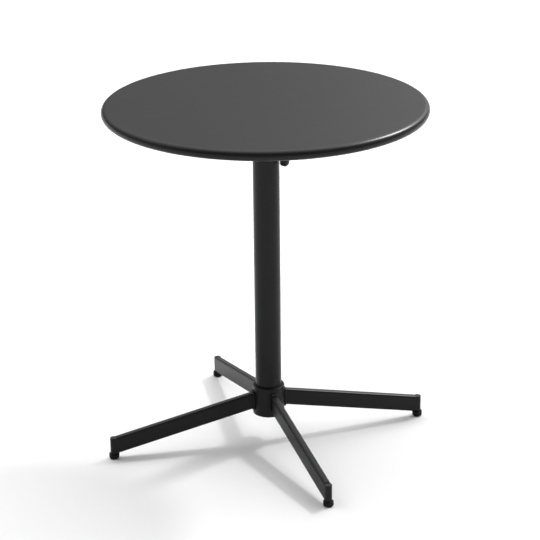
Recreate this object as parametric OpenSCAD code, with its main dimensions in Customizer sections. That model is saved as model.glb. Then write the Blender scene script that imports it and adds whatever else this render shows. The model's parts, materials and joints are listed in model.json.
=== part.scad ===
// Round bistro table with a tilting top: a pressed steel tray on a tubular column
// with four splayed legs and screw-in levelling feet.
// The origin is on the floor under the column's axis, +Z is up and +X runs from the
// pivot of the top towards its latch. Lengths are in millimetres.

/* [Table top] */
// Outer diameter of the tray
top_d = 650; // [600:5:700]
// Height of the top surface above the floor
top_h = 730; // [700:5:760]
// Radius of the rolled rim, half of its depth
rim_r = 10; // [9:0.5:12]
// Sheet thickness of the tray
sheet_t = 1.5; // [1:0.1:2]

/* [Column and hub] */
// Outer diameter of the column tube
column_d = 54; // [48:1:56]
// Outer diameter of the hub that carries the legs
hub_d = 66; // [62:0.5:70]
// Height of the hub's lower edge
hub_z0 = 58; // [50:1:60]
// Height of the hub's upper edge
hub_z1 = 121.5; // [114:0.5:124]
// Wall of the column and hub tubes
tube_t = 2; // [1.5:0.1:3]

/* [Legs] */
// Angle of each leg from the X axis, seen from above
leg_angle = 43.2; // [35:0.1:50]
// Fall of the legs below the horizontal
leg_slope = 11.4; // [10:0.1:12]
// Height of a leg tube, square to its length
leg_tall = 35; // [32:1:36]
// Width of a leg tube
leg_wide = 15; // [14:1:16]
// Distance from the column's axis to a foot's axis
foot_reach = 334; // [320:1:345]

/* [Feet] */
// Outer diameter of a glide
glide_d = 21; // [19:1:23]
// Height of a glide up to the end of the leg
glide_h = 11; // [10:0.5:11]
// Thread diameter of the levelling stud
stud_d = 8; // [6:1:8]

/* [Tilting head] */
// Distance of the pivot from the column's axis
pivot_x = 54; // [50:1:56]
// Height of the pivot's axis
pivot_z = 686; // [684:1:688]
// Diameter of the pivot bolt
pivot_d = 8; // [6:1:8]
// Distance of the latch pin from the column's axis
latch_x = 50; // [49:0.5:52]
// Height of the latch pin's axis
latch_z = 678; // [677:0.5:679]
// Lean of the latch lever towards the column
latch_lean = 5.4; // [4:0.1:8]
// Width of the black grip
grip_w = 19; // [17:1:21]

/* [Hidden] */
$fn = 96;
coated = "#34363a";
zinc = "#b9bcc0";
black = "#151515";
nylon = "#e6e3da";

slip = 0.05;            // radial clearance of every round fit
thread_fit = 0.1;       // radial clearance of a threaded pair

rim_inner = top_d / 2 - rim_r;
hem = 8;                // width of the flange folded in under the rim
sheet_z = top_h - sheet_t;

rail_w = 25;
rail_h = 20;
rail_t = 1.5;
rail_corner = 2;
rail_len = 500;
rail_z = sheet_z - rail_h;
fold_rail_x = -90;      // near edge of each cross rail
latch_rail_x = 72;

bracket_t = 3;
plate_z = rail_z - bracket_t;
plate_x0 = -98;
plate_x1 = 104;
plate_half = 50;
cheek_in = 30;          // inner face of the tilting cheeks
cheek_out = cheek_in + bracket_t;
cheek_x0 = -84;
cheek_x1 = 72;
cheek_z0 = 672;
cheek_step_x = 20;      // the cheeks' lower edge rises here to pass over the latch pin
cheek_step_z = 685;
cheek_corner = 6;
window_x0 = 28;
window_x1 = 70;
window_half = 14;

ear_out = 29;           // outer face of the fixed ears
ear_in = ear_out - bracket_t;
ear_r = 14;
ear_top = pivot_z + ear_r;
web_z = 664;
web_x0 = -62;
web_x1 = 34;
column_top = web_z;
latch_ear_r = 10;

screw_x = [fold_rail_x + rail_w / 2, latch_rail_x + rail_w / 2];
screw_y = 42;
screw_d = 6;
rivet_nut_d = 9;

bush_d = 12;
bush_flange_d = 17;
washer_t = 1.6;
washer_d = 17;

strike_dx = 12;
strike_dz = 14;
strike_d = 8;
stop_d = 8;
stop_gap = 0.3;
strike_x = latch_x + strike_dx;
strike_z = latch_z + strike_dz;
// The fold stop meets the end of the fixed web once the top has turned a quarter turn.
stop_dx = -(pivot_z - web_z - bracket_t / 2);
stop_dz = -(web_x0 + pivot_x - stop_d / 2 - stop_gap);

latch_pin_d = 6;
lever_half = 9;
lever_t = 2;
lever_eye_r = 8.6;
lever_back = 8;         // from the pin's axis back to the lever's web
lever_front = 6;
lever_arm = 36;
tab_len = 30;
tab_half = 6;
web_u = -lever_back + 0.3;
grip_back = 9.5;
grip_front = 4.5;
grip_top = 34;
grip_bottom = 74.5;
grip_corner = 5;
spacer_d = 8;
clip_d = 11;
clip_t = 1;

wire_d = 1.6;
coil_r = 5.4;
coil_pitch = 1.9;
coil_turns = 3.75;
coil_steps = 16;
coil_y = 12;

leg_mid_z = 95.7;       // where a leg's centre line would meet the column's axis
leg_t = 1.5;
leg_corner = 4;
leg_angles = [leg_angle, 180 - leg_angle, 180 + leg_angle, 360 - leg_angle];
nose_z0 = glide_h - 1;
nose_z1 = leg_mid_z - foot_reach * tan(leg_slope) + leg_tall / 2 / cos(leg_slope);
nose_bore_end = 4;      // solid metal left above the thread in a leg's end

glide_edge = 4;
glide_lip = 1.5;
stud_root = 4;
stud_top = 36;

collar_lip = 1.7;
hub_wall = 3;
disc_t = 4;
nut_disc_h = 8;
column_bolt_d = 10;
column_bolt_len = 24;

// Hexagonal prism given its width across flats.
module hexagon(across, tall) {
    cylinder(d = across / cos(30), h = tall, $fn = 6);
}

// Round tube standing on z0.
module tube(d_out, d_in, z0, z1) {
    translate([0, 0, z0]) difference() {
        cylinder(d = d_out, h = z1 - z0);
        translate([0, 0, -1]) cylinder(d = d_in, h = z1 - z0 + 2);
    }
}

// Rod across the table, along Y.
module cross_rod(x, z, d, y0, y1) {
    translate([x, y0, z]) rotate([-90, 0, 0]) cylinder(d = d, h = y1 - y0);
}

// Ring across the table, along Y.
module cross_ring(x, z, d_out, d_in, y0, y1) {
    difference() {
        cross_rod(x, z, d_out, y0, y1);
        cross_rod(x, z, d_in, y0 - 1, y1 + 1);
    }
}

// Plate standing in an XZ plane between y0 and y1, from an outline in x and z.
module upright_plate(y0, y1) {
    translate([0, y1, 0]) rotate([90, 0, 0]) linear_extrude(height = y1 - y0) children();
}

// Rectangle with four round corners, centred.
module round_rectangle(w, h, r) {
    square([w - 2 * r, h], center = true);
    square([w, h - 2 * r], center = true);
    for (sx = [-1, 1], sy = [-1, 1])
        translate([sx * (w / 2 - r), sy * (h / 2 - r)]) circle(r = r);
}

// ---- column and hub ----

module column_tube() {
    color(coated) tube(column_d, column_d - 2 * tube_t, hub_z0 + disc_t, column_top);
}

module column_nut_disc() {
    disc_d = column_d - 2 * tube_t - 2 * slip;
    color(zinc) tube(disc_d, column_bolt_d, hub_z0 + disc_t, hub_z0 + disc_t + nut_disc_h);
}

module column_bolt() {
    head_h = 6.4;
    under = hub_z0 - tube_t;
    color(zinc) {
        translate([0, 0, under]) cylinder(d = column_bolt_d - 2 * thread_fit, h = column_bolt_len);
        translate([0, 0, under - head_h]) hexagon(16, head_h);
    }
}

module column_bolt_washer() {
    color(zinc) tube(26, column_bolt_d + 0.5, hub_z0 - tube_t, hub_z0);
}

module hub_shell() {
    color(coated) tube(hub_d, hub_d - 2 * hub_wall, hub_z0, hub_z1);
}

module hub_base_disc() {
    disc_d = hub_d - 2 * hub_wall - 2 * slip;
    color(coated) tube(disc_d, column_bolt_d + 0.5, hub_z0, hub_z0 + disc_t);
}

module hub_collar() {
    collar_d = hub_d - 2 * hub_wall - 2 * slip;
    color(black) tube(collar_d, column_d + 2 * slip, hub_z0 + disc_t + 2, hub_z1 + collar_lip);
}

// ---- legs ----

module leg(angle) {
    color(coated) rotate([0, 0, angle]) difference() {
        translate([0, 0, leg_mid_z]) rotate([0, leg_slope, 0]) rotate([90, 0, 90])
            linear_extrude(height = top_d) difference() {
                round_rectangle(leg_wide, leg_tall, leg_corner);
                round_rectangle(leg_wide - 2 * leg_t, leg_tall - 2 * leg_t, leg_corner - leg_t);
            }
        cylinder(d = hub_d + 2 * slip, h = top_h, $fn = 180);
        translate([foot_reach, 0, -top_h]) cylinder(d = leg_wide, h = 2 * top_h);
        translate([foot_reach, -leg_wide, -top_h]) cube([top_d, 2 * leg_wide, 2 * top_h]);
    }
}

module leg_nose(angle) {
    color(coated) rotate([0, 0, angle]) translate([foot_reach, 0, 0]) difference() {
        translate([0, 0, nose_z0]) cylinder(d = leg_wide - slip, h = nose_z1 - nose_z0);
        translate([0, 0, nose_z0 - 1])
            cylinder(d = stud_d + 2 * thread_fit, h = nose_z1 - nose_bore_end - nose_z0 + 1);
    }
}

// ---- feet ----

module foot_stud(angle) {
    color(zinc) rotate([0, 0, angle]) translate([foot_reach, 0, stud_root])
        cylinder(d = stud_d, h = stud_top - stud_root);
}

// Domed plastic glide: flat on the floor, round at its edge, with a shallow cup on
// top that shrouds the end of the leg.
module foot_glide(angle) {
    r = glide_d / 2;
    cup_r = leg_wide / 2 + 0.6;
    color(black) rotate([0, 0, angle]) translate([foot_reach, 0, 0]) rotate_extrude() difference() {
        union() {
            square([r - glide_edge, glide_edge]);
            translate([0, glide_edge]) square([r, glide_h - glide_edge - 0.4]);
            translate([r - glide_edge, glide_edge]) circle(r = glide_edge);
        }
        translate([0, glide_h - glide_lip]) square([cup_r, glide_lip]);
        translate([0, stud_root]) square([stud_d / 2 + slip, glide_h]);
        translate([-glide_d, -1]) square([glide_d, glide_d]);
    }
}

// ---- fixed head on the column ----

module ear_outline() {
    translate([-pivot_x, pivot_z]) circle(r = ear_r);
    translate([latch_x, latch_z]) circle(r = latch_ear_r);
    polygon([
        [-pivot_x, ear_top], [web_x1, ear_top], [latch_x, latch_z + latch_ear_r],
        [latch_x, latch_z - latch_ear_r], [web_x1, web_z], [web_x0, web_z],
        [web_x0, web_z + stop_d], [-pivot_x - ear_r, pivot_z]
    ]);
}

module head_bracket() {
    color(coated) difference() {
        union() {
            for (side = [-ear_out, ear_in])
                upright_plate(side, side + bracket_t) ear_outline();
            translate([web_x0, -ear_out, web_z]) cube([web_x1 - web_x0, 2 * ear_out, bracket_t]);
        }
        cross_rod(-pivot_x, pivot_z, bush_d + 2 * slip, -cheek_out, cheek_out);
        cross_rod(latch_x, latch_z, latch_pin_d + 2 * slip, -cheek_out, cheek_out);
    }
}

// Flanged nylon bush: side is -1 on the left and 1 on the right, seen from the latch.
module pivot_bush(side) {
    flange_t = cheek_in - ear_out - slip;
    y_tail = side > 0 ? ear_in : -ear_out;
    y_flange = side > 0 ? ear_out : -ear_out - flange_t;
    color(nylon) {
        cross_ring(-pivot_x, pivot_z, bush_d, pivot_d + 2 * slip, y_tail, y_tail + bracket_t);
        cross_ring(-pivot_x, pivot_z, bush_flange_d, pivot_d + 2 * slip, y_flange, y_flange + flange_t);
    }
}

// Plastic strip clipped over the top edge of an ear, where the closed top rests.
module rest_strip(side) {
    x0 = -36;
    x1 = 30;
    grip_h = 8;
    wide = 6;
    y_mid = side * (ear_in + bracket_t / 2);
    top = plate_z - stop_gap;
    color(black) difference() {
        translate([x0, y_mid - wide / 2 + side * -1, ear_top - grip_h])
            cube([x1 - x0, wide, top - ear_top + grip_h]);
        translate([x0 - 1, y_mid - bracket_t / 2, ear_top - grip_h - 1])
            cube([x1 - x0 + 2, bracket_t, grip_h + 1]);
    }
}

module latch_pin() {
    head_t = 2;
    tail = clip_t + 2;
    color(zinc) {
        cross_rod(latch_x, latch_z, latch_pin_d, -ear_out, ear_out + tail);
        cross_rod(latch_x, latch_z, 10, -ear_out - head_t, -ear_out);
    }
}

// Spring clip in the open end of the latch pin, cut open towards the floor.
module latch_pin_clip() {
    mouth = 3.6;
    color(zinc) difference() {
        cross_ring(latch_x, latch_z, clip_d, latch_pin_d + 2 * slip, ear_out + slip, ear_out + clip_t);
        translate([latch_x - mouth / 2, ear_out - 1, latch_z - clip_d])
            cube([mouth, clip_t + 2, clip_d]);
    }
}

module latch_spacers() {
    gap = 0.3;
    color(nylon) for (y0 = [-ear_in + gap, lever_half + gap])
        cross_ring(latch_x, latch_z, spacer_d, latch_pin_d + 2 * slip, y0, y0 + ear_in - lever_half - 2 * gap);
}

// Points of the torsion spring: a leg on the fixed web, the coil round the pin and a
// leg that hooks over the front edge of the lever.
function coil_point(t) = [
    latch_x + coil_r * cos(270 + 360 * t),
    coil_y + coil_pitch * (coil_turns - t),
    latch_z + coil_r * sin(270 + 360 * t)
];
function spring_path() = concat(
    [[24, coil_y + coil_pitch * coil_turns, web_z + bracket_t + wire_d / 2 + 0.3]],
    [for (i = [0 : coil_turns * coil_steps + coil_steps / 2]) coil_point(i / coil_steps)],
    [
        [latch_x + 6.4, coil_y - coil_pitch / 2, latch_z - 12],
        [latch_x + 4.6, coil_y - coil_pitch / 2, latch_z - 27],
        [latch_x + 4.3, coil_y - coil_pitch, latch_z - 29],
        [latch_x + 4.3, 6, latch_z - 29.5]
    ]
);
function unit(v) = v / norm(v);
function tangent(p, i) = unit(p[min(i + 1, len(p) - 1)] - p[max(i - 1, 0)]);

// Round wire swept along a list of points.
module wire(path, d, sides) {
    n = len(path);
    rings = [for (i = [0 : n - 1])
        let (t = tangent(path, i), a = unit(cross(t, [0.31, 0.9, 0.3])), b = cross(t, a))
            for (k = [0 : sides - 1])
                path[i] + d / 2 * (a * cos(360 * k / sides) + b * sin(360 * k / sides))];
    walls = [for (i = [0 : n - 2], k = [0 : sides - 1])
        [i * sides + k, i * sides + (k + 1) % sides,
         (i + 1) * sides + (k + 1) % sides, (i + 1) * sides + k]];
    ends = [
        [for (k = [sides - 1 : -1 : 0]) k],
        [for (k = [0 : sides - 1]) (n - 1) * sides + k]
    ];
    polyhedron(points = rings, faces = concat(walls, ends));
}

module latch_spring() {
    color(zinc) wire(spring_path(), wire_d, 8);
}

// ---- tilting top ----

module table_top() {
    color(coated) rotate_extrude($fn = 240) union() {
        translate([0, sheet_z]) square([rim_inner, sheet_t]);
        translate([rim_inner - hem, top_h - 2 * rim_r]) square([hem, sheet_t]);
        translate([rim_inner, top_h - rim_r]) intersection() {
            difference() {
                circle(r = rim_r);
                circle(r = rim_r - sheet_t);
            }
            translate([0, -rim_r]) square([rim_r, 2 * rim_r]);
        }
    }
}

module cross_rail(x0) {
    color(coated) difference() {
        translate([x0 + rail_w / 2, rail_len / 2, rail_z + rail_h / 2]) rotate([90, 0, 0])
            linear_extrude(height = rail_len) difference() {
                round_rectangle(rail_w, rail_h, rail_corner);
                square([rail_w - 2 * rail_t, rail_h - 2 * rail_t], center = true);
            }
        for (sy = [-1, 1])
            translate([x0 + rail_w / 2, sy * screw_y, rail_z - 1])
                cylinder(d = rivet_nut_d + 2 * slip, h = rail_t + 2);
    }
}

module rail_end_plugs() {
    inset = 12;
    lip = 1.5;
    fit = 0.1;
    color(black) for (x = screw_x, sy = [-1, 1])
        translate([x, sy * rail_len / 2, rail_z + rail_h / 2]) {
            translate([0, sy * lip / 2, 0]) rotate([90, 0, 0])
                linear_extrude(height = lip, center = true) round_rectangle(rail_w, rail_h, rail_corner);
            translate([0, -sy * inset / 2, 0])
                cube([rail_w - 2 * rail_t - fit, inset, rail_h - 2 * rail_t - fit], center = true);
        }
}

module rail_rivet_nuts() {
    nut_h = 14;
    color(zinc) for (x = screw_x, sy = [-1, 1]) translate([x, sy * screw_y, 0])
        tube(rivet_nut_d, screw_d, rail_z, rail_z + nut_h);
}

module cheek_outline() {
    r = cheek_corner;
    translate([cheek_x1 - r, cheek_step_z + r]) circle(r = r);
    translate([cheek_x0 + r, cheek_z0 + r]) circle(r = r);
    polygon([
        [cheek_x0, plate_z], [cheek_x0, cheek_z0 + r], [cheek_x0 + r, cheek_z0],
        [cheek_step_x, cheek_z0], [cheek_step_x + cheek_step_z - cheek_z0, cheek_step_z],
        [cheek_x1 - r, cheek_step_z], [cheek_x1, cheek_step_z + r], [cheek_x1, plate_z]
    ]);
}

module top_bracket() {
    color(coated) difference() {
        union() {
            translate([plate_x0, -plate_half, plate_z])
                cube([plate_x1 - plate_x0, 2 * plate_half, bracket_t]);
            for (side = [-cheek_out, cheek_in])
                upright_plate(side, side + bracket_t) cheek_outline();
        }
        translate([window_x0, -window_half, plate_z - 1])
            cube([window_x1 - window_x0, 2 * window_half, bracket_t + 2]);
        for (x = screw_x, sy = [-1, 1]) translate([x, sy * screw_y, plate_z - 1])
            cylinder(d = screw_d + 0.6, h = bracket_t + 2);
        cross_rod(-pivot_x, pivot_z, pivot_d + 2 * thread_fit, -cheek_out - 1, cheek_out + 1);
    }
}

module bracket_screws() {
    head_h = 4;
    shank = 16;
    color(zinc) for (x = screw_x, sy = [-1, 1]) translate([x, sy * screw_y, plate_z]) {
        cylinder(d = screw_d - 2 * thread_fit, h = shank);
        translate([0, 0, -head_h]) hexagon(10, head_h);
        translate([0, 0, -1]) cylinder(d = 13, h = 1);
    }
}

module strike_bar() {
    color(zinc) cross_rod(strike_x, strike_z, strike_d, -cheek_in, cheek_in);
}

module fold_stop_bar() {
    color(coated) cross_rod(stop_dx - pivot_x, stop_dz + pivot_z, stop_d, -cheek_in, cheek_in);
}

module pivot_bolt() {
    head_h = 5.3;
    y_head = -cheek_out - washer_t;
    y_tip = cheek_out + 12;
    color(zinc) {
        cross_rod(-pivot_x, pivot_z, pivot_d, y_head, y_tip);
        translate([-pivot_x, y_head, pivot_z]) rotate([90, 0, 0]) hexagon(13, head_h);
    }
}

// Self-locking nut with its nylon ring rolled in at the outer end.
module pivot_nut() {
    hex_h = 6.5;
    ring_h = 1.5;
    y0 = cheek_out + washer_t;
    color(zinc) difference() {
        union() {
            translate([-pivot_x, y0 + hex_h, pivot_z]) rotate([90, 0, 0]) hexagon(13, hex_h);
            cross_rod(-pivot_x, pivot_z, 11.6, y0 + hex_h, y0 + hex_h + ring_h);
        }
        cross_rod(-pivot_x, pivot_z, pivot_d + 2 * slip, y0 - 1, y0 + hex_h + ring_h + 1);
    }
}

module pivot_washers() {
    color(zinc) for (y0 = [-cheek_out - washer_t, cheek_out])
        cross_ring(-pivot_x, pivot_z, washer_d, pivot_d + 0.4, y0, y0 + washer_t);
}

// ---- latch ----

// Carries the lever's own frame, pin at the origin and arm down, to its place.
module lever_frame() {
    translate([latch_x, 0, latch_z]) rotate([0, latch_lean, 0]) children();
}

// Outline of one cheek round the pin: arm below, and above it a hook that stands upright
// whatever the lever's lean.
module lever_outline() {
    hook_z = strike_dz + strike_d / 2 + 0.5;
    circle(r = lever_eye_r);
    translate([-lever_back, -lever_arm]) square([lever_back + lever_front, lever_arm]);
    rotate(latch_lean) polygon([
        [-6, 3], [6, 3], [6.5, hook_z], [14.5, hook_z], [14.5, hook_z + 3], [5, 33], [-1, 33], [-6, 24]
    ]);
}

// Cheeks joined by a plate on the column's side, which runs on as the tab inside the grip.
module latch_lever() {
    color(coated) lever_frame() difference() {
        union() {
            for (side = [-lever_half, lever_half - lever_t])
                upright_plate(side, side + lever_t) lever_outline();
            translate([web_u, -lever_half + lever_t / 2, -lever_arm + lever_t])
                cube([lever_t, 2 * lever_half - lever_t, lever_arm - lever_back - lever_t]);
            translate([web_u, -tab_half, -lever_arm - tab_len])
                cube([lever_t, 2 * tab_half, tab_len + 2 * lever_t]);
        }
        cross_rod(0, 0, latch_pin_d + 2 * slip, -cheek_out, cheek_out);
    }
}

module grip_side_outline() {
    r = grip_corner;
    translate([-grip_back + r, -grip_bottom + r]) circle(r = r);
    translate([grip_front - r, -grip_bottom + r]) circle(r = r);
    translate([-grip_back + r, -grip_bottom]) square([grip_back + grip_front - 2 * r, r]);
    translate([-grip_back, -grip_bottom + r])
        square([grip_back + grip_front, grip_bottom - grip_top - r]);
}

module grip_front_outline() {
    r = grip_w / 2;
    translate([0, -grip_bottom + r]) circle(r = r);
    translate([-r, -grip_bottom + r]) square([2 * r, grip_bottom - grip_top - r]);
}

// Black grip moulded over the tab and the lower end of the lever.
module latch_grip() {
    pocket = lever_arm - grip_top;
    color(black) lever_frame() difference() {
        intersection() {
            upright_plate(-grip_w, grip_w) grip_side_outline();
            translate([-grip_w, 0, 0]) rotate([90, 0, 90])
                linear_extrude(height = 2 * grip_w) grip_front_outline();
        }
        translate([web_u, -tab_half, -lever_arm - tab_len])
            cube([lever_t, 2 * tab_half, lever_arm + tab_len]);
        translate([-lever_back, -lever_half, -lever_arm])
            cube([lever_back + lever_front, 2 * lever_half, pocket + 1]);
    }
}

column_tube();
column_nut_disc();
column_bolt();
column_bolt_washer();
hub_shell();
hub_base_disc();
hub_collar();
leg(leg_angles[0]);  // leg_1
leg(leg_angles[1]);  // leg_2
leg(leg_angles[2]);  // leg_3
leg(leg_angles[3]);  // leg_4
leg_nose(leg_angles[0]);  // leg_nose_1
leg_nose(leg_angles[1]);  // leg_nose_2
leg_nose(leg_angles[2]);  // leg_nose_3
leg_nose(leg_angles[3]);  // leg_nose_4
head_bracket();
pivot_bush(-1);  // pivot_bush_left
pivot_bush(1);  // pivot_bush_right
rest_strip(-1);  // rest_strip_left
rest_strip(1);  // rest_strip_right
latch_pin();
latch_pin_clip();
latch_spacers();
latch_spring();
table_top();
cross_rail(fold_rail_x);  // cross_rail_fold_side
cross_rail(latch_rail_x);  // cross_rail_latch_side
rail_end_plugs();
rail_rivet_nuts();
top_bracket();
bracket_screws();
strike_bar();
fold_stop_bar();
pivot_bolt();
pivot_nut();
pivot_washers();
latch_lever();
latch_grip();
foot_stud(leg_angles[0]);  // foot_stud_1
foot_stud(leg_angles[1]);  // foot_stud_2
foot_stud(leg_angles[2]);  // foot_stud_3
foot_stud(leg_angles[3]);  // foot_stud_4
foot_glide(leg_angles[0]);  // foot_glide_1
foot_glide(leg_angles[1]);  // foot_glide_2
foot_glide(leg_angles[2]);  // foot_glide_3
foot_glide(leg_angles[3]);  // foot_glide_4
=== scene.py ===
"""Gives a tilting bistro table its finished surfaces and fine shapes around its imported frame."""

import json
import math

import bmesh
import bpy
from bpy.props import FloatProperty, FloatVectorProperty, IntProperty, PointerProperty
from bpy.types import Operator, Panel, PropertyGroup
from mathutils import Matrix, Vector


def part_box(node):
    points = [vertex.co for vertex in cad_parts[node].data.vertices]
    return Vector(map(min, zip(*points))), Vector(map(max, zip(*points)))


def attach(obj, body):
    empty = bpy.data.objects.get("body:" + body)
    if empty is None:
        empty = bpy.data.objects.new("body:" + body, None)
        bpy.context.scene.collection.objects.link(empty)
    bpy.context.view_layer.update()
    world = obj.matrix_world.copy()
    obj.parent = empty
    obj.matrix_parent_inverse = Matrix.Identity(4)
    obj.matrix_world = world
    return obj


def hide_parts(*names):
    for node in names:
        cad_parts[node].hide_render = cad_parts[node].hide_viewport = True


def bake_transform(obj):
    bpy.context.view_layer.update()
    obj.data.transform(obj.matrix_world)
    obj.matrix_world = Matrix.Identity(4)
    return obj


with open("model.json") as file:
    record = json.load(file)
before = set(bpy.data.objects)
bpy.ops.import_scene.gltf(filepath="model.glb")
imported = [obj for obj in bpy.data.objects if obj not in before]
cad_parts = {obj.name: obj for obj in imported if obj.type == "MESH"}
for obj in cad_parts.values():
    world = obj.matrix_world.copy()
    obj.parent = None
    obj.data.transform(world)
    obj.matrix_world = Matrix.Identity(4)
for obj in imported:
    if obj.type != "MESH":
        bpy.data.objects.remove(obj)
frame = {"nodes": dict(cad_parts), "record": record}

bl_info = {
    "name": "Tilting Bistro Table",
    "version": (1, 0, 0),
    "blender": (4, 5, 0),
    "location": "View3D > Sidebar > Bistro Table",
    "description": "Builds a round steel bistro table with a tilting top around its frame",
    "category": "Object",
}

MM = 0.001
LEGS = (1, 2, 3, 4)
UP = Vector((0.0, 0.0, 1.0))
TAU = 2 * math.pi
WELD_TOLERANCE = 1e-6
ROUNDING_STEPS = 4
THREAD_SIDES = 28
THREAD_RINGS_PER_TURN = 6
THREAD_DEPTH_SHARE = 0.54
BEAD_SIDES = 12
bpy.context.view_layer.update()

# Which finish each CAD node wears, by the record's own slot names, and which body it is on.
SLOT_OF = {row["node"]: row["material_slot"] for row in frame["record"]["subparts"]}
BODIES = frame["record"]["behaviour"]["bodies"]
BODY_OF = {node: body for body, nodes in BODIES.items() for node in nodes}


def length(label, text, default):
    """A property for a length in metres."""
    return FloatProperty(name=label, description=text, default=default, unit="LENGTH", precision=5)


def turn_angle(label, text, degrees):
    """A property for an angle, given in degrees."""
    return FloatProperty(name=label, description=text, default=math.radians(degrees), unit="ROTATION")


def tint(label, text, rgb):
    """A property for a linear colour."""
    return FloatVectorProperty(
        name=label, description=text, default=rgb, subtype="COLOR", size=3, min=0.0, max=1.0
    )


class BistroSizes(PropertyGroup):
    """Sizes that the fine shapes need beyond the frame's own boxes."""

    rim_radius: length("Rim Radius", "Radius of the tray's rolled rim", 10 * MM)
    sheet: length("Sheet", "Thickness of the tray's steel", 1.5 * MM)
    hem: length("Hem", "Width of the flange folded in under the rim", 8 * MM)
    edge: length("Edge Radius", "Rounding of cut steel edges", 0.45 * MM)
    tube_wall: length("Tube Wall", "Wall of the column tube", 2 * MM)
    hub_wall: length("Hub Wall", "Wall of the hub tube", 3 * MM)
    leg_slope: turn_angle("Leg Slope", "Fall of the legs below the horizontal", 11.4)
    leg_middle: length("Leg Middle", "Height where a leg's centre line meets the axis", 95.7 * MM)
    leg_tall: length("Leg Height", "Height of a leg tube, square to its length", 35 * MM)
    leg_wide: length("Leg Width", "Width of a leg tube", 15 * MM)
    leg_corner: length("Leg Corner", "Corner radius of a leg tube", 4 * MM)
    bead: length("Weld Bead", "Radius of the weld bead at a leg's root", 2.9 * MM)
    stitch: length("Stitch Weld", "Length of each short weld under the tray", 22 * MM)
    ripple: length("Ripple Spacing", "Distance between the ripples of a weld", 2.4 * MM)
    glide_edge: length("Glide Edge", "Rounding of a glide's lower edge", 4 * MM)
    glide_cup: length("Glide Cup", "Depth of the cup in a glide's top", 1.1 * MM)
    stud_pitch: length("Stud Pitch", "Pitch of the coarse M8 thread", 1.25 * MM)
    wire: length("Spring Wire", "Diameter of the torsion spring's wire", 1.6 * MM)
    coil_radius: length("Coil Radius", "Mean radius of the torsion spring", 5.4 * MM)
    coil_pitch: length("Coil Pitch", "Distance between the spring's turns", 1.9 * MM)
    coil_turns: FloatProperty(name="Coil Turns", description="Turns of the torsion spring", default=4.25)
    lever_lean: turn_angle("Lever Lean", "Lean of the latch lever towards the column", 5.4)
    grip_ribs: IntProperty(name="Grip Ribs", description="Ribs across the latch grip", default=5)


class BistroFinishes(PropertyGroup):
    """Colours and gloss of the table's finishes."""

    coat: tint("Coat", "Colour of the powder coat", (0.0132, 0.0134, 0.0139))
    coat_gloss: FloatProperty(
        name="Coat Roughness", description="Roughness of the powder coat", default=0.33, subtype="FACTOR"
    )
    coat_shine: FloatProperty(
        name="Coat Shine", description="Specular level of the powder coat", default=0.16, subtype="FACTOR"
    )
    zinc: tint("Zinc", "Colour of the zinc-plated fittings", (0.56, 0.57, 0.58))
    plastic: tint("Plastic", "Colour of the black mouldings", (0.0055, 0.0055, 0.0058))
    plastic_shine: FloatProperty(
        name="Plastic Shine", description="Specular level of the black mouldings", default=0.16,
        subtype="FACTOR",
    )
    nylon: tint("Nylon", "Colour of the undyed nylon", (0.74, 0.71, 0.62))


class BistroStudio(PropertyGroup):
    """Where the camera stands and how strong the studio's lights are."""

    azimuth: turn_angle("Azimuth", "Direction of the camera round the table", 26.73)
    distance: length("Distance", "Level distance from the column to the camera", 3.595)
    height: length("Height", "Height of the camera", 1.7586)
    pitch: turn_angle("Pitch", "How far the camera looks down", 21.04)
    roll: turn_angle("Roll", "Roll of the camera", -0.61)
    pan: turn_angle("Pan", "How far the camera looks past the column", -0.09)
    lens: FloatProperty(name="Lens", description="Focal length", default=125.6, unit="CAMERA")
    back_wall: FloatProperty(name="Back Wall", description="Brightness behind the table", default=0.23)
    front_wall: FloatProperty(name="Front Wall", description="Brightness behind the camera", default=0.03)
    ceiling: FloatProperty(name="Ceiling", description="Extra brightness overhead", default=2.8)
    key: FloatProperty(name="Key", description="Strength of the key light", default=1.0)
    key_softness: turn_angle("Key Softness", "Apparent width of the key light", 5.5)
    glow: FloatProperty(name="Glow", description="Extra brightness behind and to the right", default=0.95)
    strip: FloatProperty(name="Strip", description="Power of the highlight strip in watts", default=125.0)
    strip_size: length("Strip Size", "Width of the highlight strip", 0.6)
    floor: FloatProperty(
        name="Floor", description="Share of light that the floor gives back", default=0.86, subtype="FACTOR"
    )


class BistroTable(PropertyGroup):
    """All settings of the table."""

    sizes: PointerProperty(type=BistroSizes)
    finishes: PointerProperty(type=BistroFinishes)
    studio: PointerProperty(type=BistroStudio)


def settings():
    """The table's settings on the open scene."""
    return bpy.context.scene.bistro_table


# ---- outlines -------------------------------------------------------------------------------


def arc(cx, cy, radius, start, end, steps):
    """Points on an arc, with its angles in degrees."""
    span = math.radians(end - start)
    first = math.radians(start)
    return [
        (cx + radius * math.cos(first + span * i / steps), cy + radius * math.sin(first + span * i / steps))
        for i in range(steps + 1)
    ]


def rounded(corners, radius):
    """A closed outline with its corners rounded, and a point on each side of every rounding that
    keeps flat faces flat when they are shaded smooth. Points on the axis stay sharp."""
    made = []
    count = len(corners)
    for i, corner in enumerate(corners):
        here = Vector(corner)
        if here.x < 1e-9:
            made.append(tuple(here))
            continue
        back = Vector(corners[i - 1]) - here
        ahead = Vector(corners[(i + 1) % count]) - here
        cut = min(radius, 0.45 * back.length, 0.45 * ahead.length)
        start = here + back.normalized() * cut
        end = here + ahead.normalized() * cut
        guard = 0.25 * cut
        made.append(tuple(start + back.normalized() * guard))
        for k in range(ROUNDING_STEPS + 1):
            t = k / ROUNDING_STEPS
            point = start * (1 - t) ** 2 + here * 2 * t * (1 - t) + end * t**2
            made.append(tuple(point))
        made.append(tuple(end + ahead.normalized() * guard))
    return made


def closed_loop(points):
    """Edges that join a list of points into a ring."""
    return [(i, (i + 1) % len(points)) for i in range(len(points))]


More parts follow.
